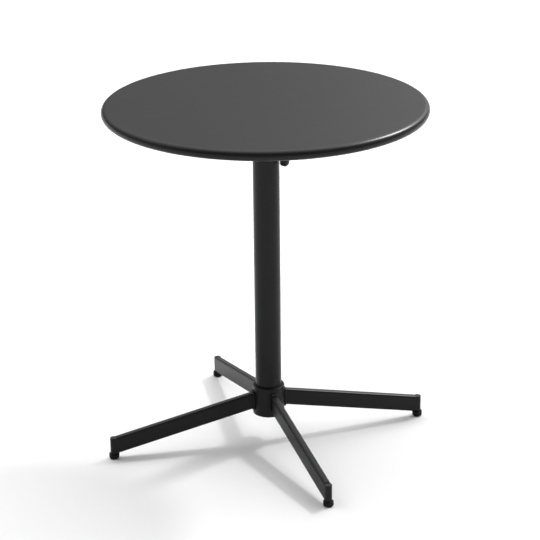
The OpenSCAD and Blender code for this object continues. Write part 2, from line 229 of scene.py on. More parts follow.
def open_run(first, count):
    """Edges that join count points in a row, from the given first index."""
    return [(i, i + 1) for i in range(first, first + count - 1)]


# ---- geometry node trees --------------------------------------------------------------------


def new_tree(name, inputs):
    """An empty geometry node tree with the named inputs after its geometry."""
    tree = bpy.data.node_groups.new(name, "GeometryNodeTree")
    tree.interface.new_socket("Geometry", in_out="INPUT", socket_type="NodeSocketGeometry")
    for label, kind in inputs:
        tree.interface.new_socket(label, in_out="INPUT", socket_type=kind)
    tree.interface.new_socket("Geometry", in_out="OUTPUT", socket_type="NodeSocketGeometry")
    return tree


def add(tree, kind, **options):
    """A node of the given kind with its options set."""
    made = tree.nodes.new(kind)
    for key, value in options.items():
        setattr(made, key, value)
    return made


def wire_up(tree, *links):
    """Joins pairs of sockets."""
    for source, target in links:
        tree.links.new(source, target)


def math_node(tree, operation, first, second=None, third=None):
    """A math node fed with sockets or numbers. Returns its output."""
    made = add(tree, "ShaderNodeMath", operation=operation)
    for socket, value in zip(made.inputs, (first, second, third)):
        if value is None:
            continue
        if isinstance(value, (int, float)):
            socket.default_value = value
        else:
            tree.links.new(value, socket)
    return made.outputs[0]


def end_tree(tree, geometry, material):
    """Smooth shading, real geometry and the material, which every tree ends with."""
    smooth = add(tree, "GeometryNodeSetShadeSmooth")
    real = add(tree, "GeometryNodeRealizeInstances")
    dressed = add(tree, "GeometryNodeSetMaterial")
    out = add(tree, "NodeGroupOutput")
    wire_up(
        tree,
        (geometry, smooth.inputs["Geometry"]),
        (smooth.outputs[0], real.inputs["Geometry"]),
        (real.outputs[0], dressed.inputs["Geometry"]),
        (material, dressed.inputs["Material"]),
        (dressed.outputs[0], out.inputs[0]),
    )


def turning_tree():
    """Turns an outline, with x as radius and y as height, once round the Z axis."""
    tree = new_tree(
        "Turned Piece",
        (
            ("Segments", "NodeSocketInt"),
            ("Path Radius", "NodeSocketFloat"),
            ("Material", "NodeSocketMaterial"),
        ),
    )
    given = add(tree, "NodeGroupInput")
    outline = add(tree, "GeometryNodeMeshToCurve")
    inward = add(tree, "ShaderNodeCombineXYZ")
    moved = add(tree, "GeometryNodeTransform")
    moved.inputs["Scale"].default_value = (1.0, -1.0, 1.0)
    path = add(tree, "GeometryNodeCurvePrimitiveCircle")
    level = add(tree, "GeometryNodeSetCurveNormal", mode="Z_UP")
    swept = add(tree, "GeometryNodeCurveToMesh")
    sealed = add(tree, "GeometryNodeMergeByDistance")
    sealed.inputs["Distance"].default_value = WELD_TOLERANCE
    wire_up(
        tree,
        (given.outputs["Geometry"], outline.inputs["Mesh"]),
        (math_node(tree, "MULTIPLY", given.outputs["Path Radius"], -1.0), inward.inputs["X"]),
        (outline.outputs[0], moved.inputs["Geometry"]),
        (inward.outputs[0], moved.inputs["Translation"]),
        (given.outputs["Segments"], path.inputs["Resolution"]),
        (given.outputs["Path Radius"], path.inputs["Radius"]),
        (path.outputs["Curve"], level.inputs["Curve"]),
        (level.outputs[0], swept.inputs["Curve"]),
        (moved.outputs[0], swept.inputs["Profile Curve"]),
        (swept.outputs[0], sealed.inputs["Geometry"]),
    )
    end_tree(tree, sealed.outputs[0], given.outputs["Material"])
    return tree


def bead_tree():
    """Sweeps a round bead along edges, swelling and shrinking at an even spacing."""
    tree = new_tree(
        "Swept Bead",
        (
            ("Radius", "NodeSocketFloat"),
            ("Ripple", "NodeSocketFloat"),
            ("Spacing", "NodeSocketFloat"),
            ("Step", "NodeSocketFloat"),
            ("Sides", "NodeSocketInt"),
            ("Material", "NodeSocketMaterial"),
        ),
    )
    given = add(tree, "NodeGroupInput")
    path = add(tree, "GeometryNodeMeshToCurve")
    even = add(tree, "GeometryNodeResampleCurve", mode="LENGTH")
    along = add(tree, "GeometryNodeSplineParameter")
    turns = math_node(tree, "DIVIDE", along.outputs["Length"], given.outputs["Spacing"])
    wave = math_node(tree, "SINE", math_node(tree, "MULTIPLY", turns, TAU))
    swell = math_node(tree, "MULTIPLY_ADD", wave, given.outputs["Ripple"], 1.0)
    section = add(tree, "GeometryNodeCurvePrimitiveCircle")
    swept = add(tree, "GeometryNodeCurveToMesh")
    swept.inputs["Fill Caps"].default_value = True
    wire_up(
        tree,
        (given.outputs["Geometry"], path.inputs["Mesh"]),
        (path.outputs[0], even.inputs["Curve"]),
        (given.outputs["Step"], even.inputs["Length"]),
        (given.outputs["Sides"], section.inputs["Resolution"]),
        (given.outputs["Radius"], section.inputs["Radius"]),
        (even.outputs[0], swept.inputs["Curve"]),
        (section.outputs["Curve"], swept.inputs["Profile Curve"]),
        (swell, swept.inputs["Scale"]),
    )
    end_tree(tree, swept.outputs[0], given.outputs["Material"])
    return tree


def thread_tree():
    """A rod along Z whose skin is cut by a screw thread. It needs no input geometry."""
    tree = new_tree(
        "Threaded Rod",
        (
            ("Radius", "NodeSocketFloat"),
            ("Length", "NodeSocketFloat"),
            ("Pitch", "NodeSocketFloat"),
            ("Depth", "NodeSocketFloat"),
            ("Rings", "NodeSocketInt"),
            ("Material", "NodeSocketMaterial"),
        ),
    )
    given = add(tree, "NodeGroupInput")
    rod = add(tree, "GeometryNodeMeshCylinder", fill_type="TRIANGLE_FAN")
    rod.inputs["Vertices"].default_value = THREAD_SIDES
    here = add(tree, "GeometryNodeInputPosition")
    split = add(tree, "ShaderNodeSeparateXYZ")
    cut = add(tree, "GeometryNodeSetPosition")
    joined = add(tree, "ShaderNodeCombineXYZ")
    turn = math_node(
        tree, "DIVIDE", math_node(tree, "ARCTAN2", split.outputs["Y"], split.outputs["X"]), TAU
    )
    rise = math_node(tree, "DIVIDE", split.outputs["Z"], given.outputs["Pitch"])
    tooth = math_node(tree, "PINGPONG", math_node(tree, "SUBTRACT", rise, turn), 0.5)
    sunk = math_node(tree, "MULTIPLY", math_node(tree, "MULTIPLY", tooth, 2.0), given.outputs["Depth"])
    kept = math_node(tree, "SUBTRACT", 1.0, math_node(tree, "DIVIDE", sunk, given.outputs["Radius"]))
    wire_up(
        tree,
        (given.outputs["Radius"], rod.inputs["Radius"]),
        (given.outputs["Length"], rod.inputs["Depth"]),
        (given.outputs["Rings"], rod.inputs["Side Segments"]),
        (here.outputs[0], split.inputs[0]),
        (math_node(tree, "MULTIPLY", split.outputs["X"], kept), joined.inputs["X"]),
        (math_node(tree, "MULTIPLY", split.outputs["Y"], kept), joined.inputs["Y"]),
        (split.outputs["Z"], joined.inputs["Z"]),
        (rod.outputs["Mesh"], cut.inputs["Geometry"]),
        (joined.outputs[0], cut.inputs["Position"]),
    )
    end_tree(tree, cut.outputs[0], given.outputs["Material"])
    return tree


def tree_named(name, maker):
    """The tree of that name, made on its first use."""
    return bpy.data.node_groups.get(name) or maker()


# ---- pieces ---------------------------------------------------------------------------------


def new_piece(name, mesh):
    """An object for a mesh, at the origin."""
    piece = bpy.data.objects.new(name, mesh)
    bpy.context.scene.collection.objects.link(piece)
    return piece


def raw_piece(name, points, edges=(), faces=()):
    """An object from lists of points, edges and faces."""
    mesh = bpy.data.meshes.new(name)
    mesh.from_pydata([tuple(p) for p in points], edges, faces)
    return new_piece(name, mesh)


def applied(piece):
    """Turns a piece's modifiers into its plain mesh."""
    bpy.context.view_layer.update()
    graph = bpy.context.evaluated_depsgraph_get()
    mesh = bpy.data.meshes.new_from_object(
        piece.evaluated_get(graph), preserve_all_data_layers=True, depsgraph=graph
    )
    old = piece.data
    piece.modifiers.clear()
    piece.data = mesh
    mesh.name = piece.name
    bpy.data.meshes.remove(old)
    return piece


def grown(piece, tree, **values):
    """Runs a geometry node tree on a piece and keeps the result as its mesh."""
    modifier = piece.modifiers.new(tree.name, "NODES")
    modifier.node_group = tree
    for item in tree.interface.items_tree:
        if item.in_out == "INPUT" and item.name in values:
            modifier[item.identifier] = values[item.name]
    return applied(piece)


def placed(piece, matrix):
    """Puts a piece's mesh in its place, with its faces pointing outwards."""
    piece.data.transform(matrix)
    mesh = bmesh.new()
    mesh.from_mesh(piece.data)
    if mesh.calc_volume(signed=True) < 0:
        bmesh.ops.reverse_faces(mesh, faces=mesh.faces)
    mesh.to_mesh(piece.data)
    mesh.free()
    return piece


def finished(piece, body, slot, *nodes):
    """Ties a piece to its body and hides the CAD nodes that it stands for. The slot is not used."""
    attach(piece, body)
    if nodes:
        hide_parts(*nodes)
    return piece


def middle(node):
    """Centre of a node's box."""
    low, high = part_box(node)
    return (Vector(low) + Vector(high)) / 2


def span(node):
    """Size of a node's box."""
    low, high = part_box(node)
    return Vector(high) - Vector(low)


def turned(name, node, outline, at=(0.0, 0.0), segments=64):
    """A lathe-turned piece that stands for a node, about an upright axis through the point at."""
    slot = SLOT_OF[node]
    piece = raw_piece(name, [(x, y, 0.0) for x, y in outline], closed_loop(outline))
    path_radius = max(x for x, _ in outline)
    grown(
        piece,
        tree_named("Turned Piece", turning_tree),
        Segments=segments,
        Material=finish(slot),
        **{"Path Radius": path_radius},
    )
    placed(piece, Matrix.Translation((*at, 0.0)))
    return finished(piece, BODY_OF[node], slot, node)


def softened(name, node, width):
    """A copy of a CAD node with its cut edges rounded over, which stands for the node."""
    flat_within, smooth_below, cut_above = (math.radians(a) for a in (1.0, 30.0, 35.0))
    mesh = frame["nodes"][node].data.copy()
    mesh.name = name
    clean = bmesh.new()
    clean.from_mesh(mesh)
    bmesh.ops.remove_doubles(clean, verts=clean.verts, dist=WELD_TOLERANCE)
    bmesh.ops.dissolve_limit(clean, angle_limit=flat_within, verts=clean.verts, edges=clean.edges)
    for face in clean.faces:
        face.smooth = True
    for edge in clean.edges:
        edge.smooth = edge.calc_face_angle(0.0) < smooth_below
    clean.to_mesh(mesh)
    clean.free()
    if mesh.attributes.get("custom_normal"):
        mesh.attributes.remove(mesh.attributes["custom_normal"])
    piece = new_piece(name, mesh)
    bevel = piece.modifiers.new("Soft Edges", "BEVEL")
    bevel.width = width
    bevel.segments = 2
    bevel.limit_method = "ANGLE"
    bevel.angle_limit = cut_above
    bevel.harden_normals = True
    bevel.use_clamp_overlap = True
    applied(piece)
    piece.data.materials.clear()
    piece.data.materials.append(finish(SLOT_OF[node]))
    return finished(piece, BODY_OF[node], SLOT_OF[node], node)


# ---- finishes -------------------------------------------------------------------------------


def new_finish(name, colour, roughness):
    """A material with one principled shader, its tree and the shader."""
    material = bpy.data.materials.new("finish_" + name)
    material.use_nodes = True
    tree = material.node_tree
    shader = tree.nodes["Principled BSDF"]
    shader.inputs["Base Color"].default_value = (*colour, 1.0)
    shader.inputs["Roughness"].default_value = roughness
    return material, tree, shader


def grain(tree, scale, detail, stretch=(1.0, 1.0, 1.0)):
    """Noise on the object's own coordinates. Returns its value from 0 to 1."""
    place = add(tree, "ShaderNodeTexCoord")
    mapping = add(tree, "ShaderNodeMapping")
    mapping.inputs["Scale"].default_value = stretch
    noise = add(tree, "ShaderNodeTexNoise")
    noise.inputs["Scale"].default_value = scale
    noise.inputs["Detail"].default_value = detail
    wire_up(
        tree, (place.outputs["Object"], mapping.inputs[0]), (mapping.outputs[0], noise.inputs["Vector"])
    )
    return noise.outputs["Fac"]


def ranged(tree, value, low, high, start=0.3, end=0.7):
    """A value moved from start..end to low..high."""
    made = add(tree, "ShaderNodeMapRange")
    for key, number in (("From Min", start), ("From Max", end), ("To Min", low), ("To Max", high)):
        made.inputs[key].default_value = number
    tree.links.new(value, made.inputs["Value"])
    return made.outputs["Result"]


def shades(tree, value, dark, light, shader):
    """Colours the shader between a darker and a lighter tone of one colour."""
    ramp = add(tree, "ShaderNodeValToRGB")
    ramp.color_ramp.elements[0].position = 0.3
    ramp.color_ramp.elements[1].position = 0.7
    ramp.color_ramp.elements[0].color = (*dark, 1.0)
    ramp.color_ramp.elements[1].color = (*light, 1.0)
    wire_up(tree, (value, ramp.inputs[0]), (ramp.outputs[0], shader.inputs["Base Color"]))


def bumped(tree, shader, *layers):
    """Stacks bump layers, each a value, a strength and a height, on the shader's normal."""
    normal = None
    for value, strength, height in layers:
        bump = add(tree, "ShaderNodeBump")
        bump.inputs["Strength"].default_value = strength
        bump.inputs["Distance"].default_value = height
        tree.links.new(value, bump.inputs["Height"])
        if normal is not None:
            tree.links.new(normal, bump.inputs["Normal"])
        normal = bump.outputs[0]
    tree.links.new(normal, shader.inputs["Normal"])


def scaled(colour, factor):
    """A colour made darker or lighter."""
    return tuple(min(1.0, c * factor) for c in colour)


def powder_coat():
    """Satin powder coat: fine orange peel, a trace of texture grit and cloudy gloss."""
    look = settings().finishes
    material, tree, shader = new_finish("anthracite_coat", look.coat, look.coat_gloss)
    shader.inputs["Specular IOR Level"].default_value = look.coat_shine
    cloud = grain(tree, 9.0, 3.0)
    shades(tree, cloud, scaled(look.coat, 0.93), scaled(look.coat, 1.07), shader)
    gloss = ranged(tree, grain(tree, 24.0, 3.0), look.coat_gloss - 0.01, look.coat_gloss + 0.015)
    tree.links.new(gloss, shader.inputs["Roughness"])
    bumped(
        tree,
        shader,
        (grain(tree, 420.0, 2.0), 0.05, 0.0002),
        (grain(tree, 1700.0, 2.0), 0.08, 0.00008),
    )
    return material


def zinc_plate():
    """Bright zinc plate: brushed streaks, slight yellowing and uneven gloss."""
    look = settings().finishes
    material, tree, shader = new_finish("zinc_steel", look.zinc, 0.3)
    shader.inputs["Metallic"].default_value = 1.0
    cloud = grain(tree, 60.0, 4.0)
    warm = (look.zinc[0] * 1.03, look.zinc[1], look.zinc[2] * 0.9)
    shades(tree, cloud, scaled(look.zinc, 0.82), warm, shader)
    gloss = ranged(tree, grain(tree, 300.0, 4.0), 0.22, 0.42)
    tree.links.new(gloss, shader.inputs["Roughness"])
    bumped(tree, shader, (grain(tree, 900.0, 2.0), 0.06, 0.00002))
    return material


def black_plastic():
    """Black moulded plastic with a fine spark-eroded grain and handling marks."""
    look = settings().finishes
    material, tree, shader = new_finish("black_plastic", look.plastic, 0.5)
    shader.inputs["Specular IOR Level"].default_value = look.plastic_shine
    cloud = grain(tree, 120.0, 5.0)
    shades(tree, cloud, scaled(look.plastic, 0.8), scaled(look.plastic, 1.5), shader)
    gloss = ranged(tree, grain(tree, 90.0, 6.0), 0.42, 0.58)
    tree.links.new(gloss, shader.inputs["Roughness"])
    bumped(tree, shader, (grain(tree, 2600.0, 1.0), 0.25, 0.00006))
    return material


def undyed_nylon():
    """Undyed nylon, slightly see-through, with faint flow lines."""
    look = settings().finishes
    material, tree, shader = new_finish("natural_nylon", look.nylon, 0.42)
    shader.inputs["Subsurface Weight"].default_value = 0.15
    shader.inputs["Subsurface Radius"].default_value = (0.001, 0.001, 0.0008)
    shades(tree, grain(tree, 150.0, 3.0), scaled(look.nylon, 0.92), scaled(look.nylon, 1.04), shader)
    bumped(tree, shader, (grain(tree, 800.0, 2.0, (1.0, 5.0, 1.0)), 0.1, 0.00005))
    return material


FINISHERS = {
    "anthracite_coat": powder_coat,
    "zinc_steel": zinc_plate,
    "black_plastic": black_plastic,
    "natural_nylon": undyed_nylon,
}


def finish(slot):
    """The material for one of the record's slots, made on its first use."""
    return bpy.data.materials.get("finish_" + slot) or FINISHERS[slot]()


class BISTRO_OT_finishes(Operator):
    """Dresses every CAD node in its finish"""

    bl_idname = "bistro.finishes"
    bl_label = "Finishes"

    def execute(self, context):
        for node, piece in frame["nodes"].items():
            for place in piece.material_slots:
                place.material = finish(SLOT_OF[node])
        return {"FINISHED"}


# ---- tray -----------------------------------------------------------------------------------


class BISTRO_OT_tray(Operator):
    """Turns the pressed tray with its rolled rim and hem"""

    bl_idname = "bistro.tray"
    bl_label = "Tray"

    def execute(self, context):
        size = settings().sizes
        low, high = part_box("table_top")
        top = high[2]
        radius = (high[0] - low[0]) / 2
        roll = size.rim_radius
        sheet = size.sheet
        flat = radius - roll
        centre = top - roll
        guard = 0.4 * MM
        hem_in = flat - size.hem
        hem_low = top - 2 * roll
        outline = [(0.0, top), (0.4 * flat, top), (0.8 * flat, top), (flat - guard, top)]
        outline += arc(flat, centre, roll, 90, -90, 28)
        outline += [(flat - guard, hem_low), (hem_in + sheet, hem_low)]
        outline += arc(hem_in + sheet / 2, hem_low + sheet / 2, sheet / 2, -90, -270, 6)
        outline += [(hem_in + sheet, hem_low + sheet), (flat - guard, hem_low + sheet)]
        outline += arc(flat, centre, roll - sheet, -90, 90, 20)
        outline += [(flat - guard, top - sheet), (0.5 * flat, top - sheet), (0.0, top - sheet)]
        turned("tray", "table_top", outline, segments=288)
        return {"FINISHED"}


# ---- column and hub -------------------------------------------------------------------------


def tube_outline(node, wall, edge):
    """Outline of a CAD tube about the column's axis, with soft edges."""
    low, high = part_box(node)
    outer = (high[0] - low[0]) / 2
    inner = outer - wall
    corners = [(inner, low[2]), (outer, low[2]), (outer, high[2]), (inner, high[2])]
    return rounded(corners, edge)


class BISTRO_OT_column(Operator):
    """Turns the column, the hub and the black collar between them; the collar is partly a real ring and
    partly painted shade, a dark band set where the seam lies in shadow
    """

    bl_idname = "bistro.column"
    bl_label = "Column and Hub"

    def execute(self, context):
        size = settings().sizes
        bolt_hole = 5.25 * MM
        collar_gap = 0.05 * MM
        collar_wall = (span("hub_collar").x - span("column_tube").x) / 2 - collar_gap
        disc_wall = span("hub_base_disc").x / 2 - bolt_hole
        # The black collar is partly painted shade: a dark ring standing in for the shadow in the seam
        # between column and hub.
        for name, node, wall, edge in (
            ("column", "column_tube", size.tube_wall, size.edge),
            ("hub", "hub_shell", size.hub_wall, 2 * size.edge),
            ("collar", "hub_collar", collar_wall, size.edge),
            ("hub_disc", "hub_base_disc", disc_wall, size.edge),
        ):
            turned(name, node, tube_outline(node, wall, edge))
        return {"FINISHED"}


# ---- legs and feet --------------------------------------------------------------------------


class BISTRO_OT_leg_ends(Operator):
    """Turns the upright round nose at the end of each leg"""

    bl_idname = "bistro.leg_ends"
    bl_label = "Leg Ends"

    def execute(self, context):
        size = settings().sizes
        cap = 4 * MM
        thread_gap = 0.1 * MM
        for leg in LEGS:
            node = f"leg_nose_{leg}"
            low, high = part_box(node)
            centre = middle(node)
            radius = (high[0] - low[0]) / 2
            bore = span(f"foot_stud_{leg}").x / 2 + thread_gap
            floor = low[2]
            top = high[2]
            corners = [
                (0.0, top), (0.0, top - cap), (bore, top - cap), (bore, floor),
                (radius, floor), (radius, top),
            ]
            outline = rounded(corners, 1.8 * size.edge)
            turned(f"leg_end_{leg}", node, outline, centre.xy, segments=48)
        return {"FINISHED"}


class BISTRO_OT_feet(Operator):
    """Turns the black glides and cuts the threads of their studs"""

    bl_idname = "bistro.feet"
    bl_label = "Feet"

    def execute(self, context):
        size = settings().sizes
        edge = size.glide_edge
        lip = 0.55 * MM
        ease = 0.1 * MM
        cup_room = 0.6 * MM
        for leg in LEGS:
            node = f"foot_glide_{leg}"
            low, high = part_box(node)
            centre = middle(node)
            radius = (high[0] - low[0]) / 2
            height = high[2]
            bore = span(f"foot_stud_{leg}").x / 2
            bore_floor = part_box(f"foot_stud_{leg}")[0][2]
            cup_radius = span(f"leg_nose_{leg}").x / 2 + cup_room
            cup_floor = height - size.glide_cup
            wall_top = height - lip
            outline = [(0.0, 0.0), (radius - edge - 3 * ease, 0.0)]
            outline += arc(radius - edge, edge, edge, -90, 0, 10)
            outline += [(radius, edge + 3 * ease), (radius, wall_top - 2 * ease)]
            outline += arc(radius - lip, wall_top, lip, 0, 90, 5)
            outline += arc(cup_radius + lip, wall_top, lip, 90, 180, 5)
            outline += [(cup_radius, cup_floor + ease), (cup_radius - ease, cup_floor)]
            outline += [(bore + ease, cup_floor), (bore, cup_floor - ease)]
            outline += [(bore, bore_floor), (0.0, bore_floor)]
            turned(f"glide_{leg}", node, outline, centre.xy, segments=56)
            threaded(f"stud_{leg}", f"foot_stud_{leg}", size.stud_pitch)
        return {"FINISHED"}


def threaded(name, node, pitch):
    """A threaded rod along Z that stands for a node."""
    reach = span(node)
    slot = SLOT_OF[node]
    piece = grown(
        raw_piece(name, [(0.0, 0.0, 0.0)]),
        tree_named("Threaded Rod", thread_tree),
        Radius=reach.x / 2,
        Length=reach.z,
        Pitch=pitch,
        Depth=THREAD_DEPTH_SHARE * pitch,
        Rings=int(THREAD_RINGS_PER_TURN * reach.z / pitch),
        Material=finish(slot),
    )
    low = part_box(node)[0][2]
    drop = low - min(v.co.z for v in piece.data.vertices)
    centre = middle(node)
    placed(piece, Matrix.Translation((centre.x, centre.y, drop)))
    return finished(piece, BODY_OF[node], slot, node)


# ---- welds ----------------------------------------------------------------------------------


WELD_RIPPLE = 0.07

# Where the short welds start: across each rail, as shares of its half length, and along each
# cheek of the top's bracket, in metres from the column's axis.
RAIL_STITCHES = (-0.92, -0.62, -0.3, 0.3, 0.62, 0.92)
CHEEK_STITCHES = (-0.062, -0.01, 0.046)


def beads(name, body, runs, radius, ring=False):
    """One piece of weld bead along several runs of points. A ring's last point joins its first."""
    size = settings().sizes
    points = []
    edges = []
    for run in runs:
        first = len(points)
        points += run
        edges += open_run(first, len(run))
        if ring:
            edges.append((len(points) - 1, first))
    piece = grown(
        raw_piece(name, points, edges),
        tree_named("Swept Bead", bead_tree),
        Radius=radius,
        Ripple=WELD_RIPPLE,
        Spacing=size.ripple,
        Step=size.ripple / 6,
        Sides=BEAD_SIDES,
        Material=finish("anthracite_coat"),
    )
    placed(piece, Matrix.Identity(4))
    return finished(piece, body, "anthracite_coat")


def leg_section(grow):
    """Outline of a leg tube's section, grown outwards, as width and height."""
    size = settings().sizes
    wide = size.leg_wide / 2 - size.leg_corner
    tall = size.leg_tall / 2 - size.leg_corner
    radius = size.leg_corner + grow
    made = []
    for sx, sy, start in ((1, -1, -90), (1, 1, 0), (-1, 1, 90), (-1, -1, 180)):
        made += arc(sx * wide, sy * tall, radius, start, start + 90, 6)
    return made


def leg_root(leg):
    """Points round the joint of a leg and the hub."""
    size = settings().sizes
    hub = span("hub_shell").x / 2 + 0.35 * size.bead
    foot = middle(f"leg_nose_{leg}")
    heading = math.atan2(foot.y, foot.x)
    sine, cosine = math.sin(size.leg_slope), math.cos(size.leg_slope)
    made = []
    for across, up in leg_section(0.3 * size.bead):
        out = math.sqrt(hub**2 - across**2)
        travel = (out - up * sine) / cosine
        point = Vector((out, across, size.leg_middle - travel * sine + up * cosine))
        made.append(Matrix.Rotation(heading, 3, "Z") @ point)
    return made


def level_ring(radius, height):
    """A level ring of points round the column's axis."""
    steps = 72
    return [
        Vector((radius * math.cos(TAU * i / steps), radius * math.sin(TAU * i / steps), height))
        for i in range(steps)
    ]


def stitch(x, y, z, reach_x, reach_y):
    """A short straight run of points from a start, on the level."""
    steps = 4
    return [Vector((x + reach_x * k / steps, y + reach_y * k / steps, z)) for k in range(steps + 1)]


class BISTRO_OT_welds(Operator):
    """Lays the weld beads of the legs, the head and the frame under the tray"""

    bl_idname = "bistro.welds"
    bl_label = "Welds"

    def execute(self, context):
        size = settings().sizes
        sunk = 0.4 * MM
        beads("leg_welds", "base", [leg_root(leg) for leg in LEGS], size.bead, ring=True)

        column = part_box("column_tube")
        neck = level_ring(column[1][0] + 0.5 * MM, column[1][2] - 0.6 * MM)
        beads("neck_weld", "base", [neck], 1.7 * MM, ring=True)

        stitches = []
        for rail in ("cross_rail_fold_side", "cross_rail_latch_side"):
            low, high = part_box(rail)
            for x in (low[0] - sunk / 2, high[0] + sunk / 2):
                for share in RAIL_STITCHES:
                    start = share * high[1] - size.stitch / 2
                    stitches.append(stitch(x, start, high[2] - sunk, 0.0, size.stitch))
        beads("tray_stitches", "top", stitches, 1.6 * MM)

        plate_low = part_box("top_bracket")[1][2] - 3 * MM
        cheek = 33.4 * MM
        cheeks = [
            stitch(start, side * cheek, plate_low - sunk, size.stitch, 0.0)
            for side in (-1, 1)
            for start in CHEEK_STITCHES
        ]
        beads("cheek_welds", "top", cheeks, 1.5 * MM)
        return {"FINISHED"}


# ---- tilting head ---------------------------------------------------------------------------

# How far each node's cut edges are rounded over, in millimetres.
SOFT_NODES = {
    "head_bracket": 0.6, "top_bracket": 0.6, "latch_lever": 0.35, "cross_rail_fold_side": 0.3,
    "cross_rail_latch_side": 0.3, "rail_end_plugs": 0.5, "rest_strip_left": 0.5,
    "rest_strip_right": 0.5, "bracket_screws": 0.35, "pivot_bolt": 0.45, "pivot_nut": 0.45,
    "column_bolt": 0.5, "strike_bar": 0.4, "fold_stop_bar": 0.4, "latch_pin": 0.4,
}


class BISTRO_OT_head(Operator):
    """Rounds over the cut edges of the head, the rails and the fasteners"""

    bl_idname = "bistro.head"
    bl_label = "Tilting Head"

    def execute(self, context):
        for node, width in SOFT_NODES.items():
            softened(node + "_soft", node, width * MM)
        return {"FINISHED"}


# The grip in the lever's own frame: how far it stands to the front and the back of the pin's
# line, and its upper and lower end.
GRIP_FRONT = 4.5 * MM
GRIP_BACK = 9.5 * MM
GRIP_TOP = -34 * MM
GRIP_BOTTOM = -74.5 * MM
RIB_SPACING = 3.4 * MM


def spring_points():
    """The torsion spring's run: a leg on the fixed web, the coil and a leg to the lever."""
    size = settings().sizes
    pin = middle("latch_spacers")
    low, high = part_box("latch_spring")
    first_y = high[1] - size.wire / 2
    steps = 24
    coil = []
    for i in range(int(size.coil_turns * steps) + 1):
        turn = i / steps
        angle = math.radians(270) + TAU * turn
        coil.append(
            Vector((
                pin.x + size.coil_radius * math.cos(angle),
                first_y - size.coil_pitch * turn,
                pin.z + size.coil_radius * math.sin(angle),
            ))
        )
    last_y = coil[-1].y
    hook_y = 6 * MM
    start = Vector((low[0] + size.wire / 2, first_y, pin.z - 9.9 * MM))
    lower_leg = [
        Vector((pin.x + 6.4 * MM, last_y, pin.z - 12 * MM)),
        Vector((pin.x + 4.6 * MM, last_y, pin.z - 27 * MM)),
        Vector((pin.x + 4.2 * MM, last_y - 1.9 * MM, pin.z - 29 * MM)),
        Vector((pin.x + 4.2 * MM, hook_y, pin.z - 29.5 * MM)),
    ]
    return [start, *coil, *lower_leg]


def lever_matrix():
    """From the lever's own frame, pin at the origin and arm down, to its place."""
    pin = middle("latch_spacers")
    place = Matrix.Translation((pin.x, 0.0, pin.z))
    return place @ Matrix.Rotation(settings().sizes.lever_lean, 4, "Y")


def grip_section(depth, wide):
    """Rounded rectangle of the grip's section, as front-to-back and side-to-side."""
    steps = 6
    corner = min(3.2 * MM, depth * 0.98, wide * 0.98)
    made = []
    for sx, sy, start in ((1, 1, 0), (-1, 1, 90), (-1, -1, 180), (1, -1, 270)):
        made += arc(sx * (depth - corner), sy * (wide - corner), corner, start, start + 90, steps)
    return made


def plain_sweep(name, points, edges, radius, step, slot):
    """A smooth round rod along edges, in one finish."""
    return grown(
        raw_piece(name, points, edges),
        tree_named("Swept Bead", bead_tree),
        Radius=radius,
        Ripple=0.0,
        Spacing=1.0,
        Step=step,
        Sides=BEAD_SIDES,
        Material=finish(slot),
    )


def wind_spring():
    """Winds the torsion spring."""
    run = spring_points()
    wire = settings().sizes.wire
    spring = plain_sweep("torsion_spring", run, open_run(0, len(run)), wire / 2, 0.5 * MM, "zinc_steel")
    placed(spring, Matrix.Identity(4))
    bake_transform(spring)
    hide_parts("latch_spring")


def grip_rings(half):
    """The grip's sections from its top to its round lower end, all of one point count."""
    depth = (GRIP_FRONT + GRIP_BACK) / 2
    shift = (GRIP_FRONT - GRIP_BACK) / 2
    end_round = 5 * MM
    top_ease = {0: 0.8 * MM, 1: 0.25 * MM}
    levels = [GRIP_TOP - drop * MM for drop in (0.0, 0.3, 1.0, 3.0, 8.0)]
    levels += [GRIP_BOTTOM + half + 2 * MM]
    levels += [GRIP_BOTTOM + half * (1 - math.sin(math.radians(a))) for a in range(0, 90, 9)]
    rings = []
    for i, level in enumerate(levels):
        rise = level - GRIP_BOTTOM
        wide = half if rise >= half else math.sqrt(max(rise * (2 * half - rise), 0.0))
        deep = depth
        if rise < end_round:
            deep = depth - end_round + math.sqrt(max(rise * (2 * end_round - rise), 0.0))
        ease = top_ease.get(i, 0.0)
        ring = grip_section(max(deep - ease, 0.4 * MM), max(wide - ease, 0.4 * MM))
        rings.append([(shift + x, y, level) for x, y in ring])
    return rings, (shift, 0.0, GRIP_BOTTOM)


def mould_grip(half):
    """Lofts the grip over the lever's lower end."""
    rings, tip = grip_rings(half)
    count = len(rings[0])
    faces = []
    for i in range(len(rings) - 1):
        for k in range(count):
            after = (k + 1) % count
            faces.append((i * count + k, i * count + after, (i + 1) * count + after, (i + 1) * count + k))
    faces.append(tuple(range(count)))
    last = (len(rings) - 1) * count
    faces += [(last + k, last + (k + 1) % count, last + count) for k in range(count)]
    points = [point for ring in rings for point in ring]
    grip = raw_piece("grip", [*points, tip], (), faces)
    joined = bmesh.new()
    joined.from_mesh(grip.data)
    bmesh.ops.remove_doubles(joined, verts=joined.verts, dist=WELD_TOLERANCE)
    bmesh.ops.recalc_face_normals(joined, faces=joined.faces)
    for face in joined.faces:
        face.smooth = True
    joined.to_mesh(grip.data)
    joined.free()
    grip.data.materials.append(finish("black_plastic"))
    placed(grip, lever_matrix())
    finished(grip, "latch", "black_plastic", "latch_grip")


def rib_grip(half):
    """Sets round ribs across the grip's front."""
    steps = 6
    reach = half - 3.4 * MM
    points = []
    edges = []
    for i in range(settings().sizes.grip_ribs):
        level = GRIP_BOTTOM + 8 * MM + i * RIB_SPACING
        edges += open_run(len(points), steps + 1)
        points += [Vector((GRIP_FRONT, -reach + 2 * reach * k / steps, level)) for k in range(steps + 1)]
    ribs = plain_sweep("grip_ribs", points, edges, 0.75 * MM, 1.0 * MM, "black_plastic")
    placed(ribs, lever_matrix())
    finished(ribs, "latch", "black_plastic")


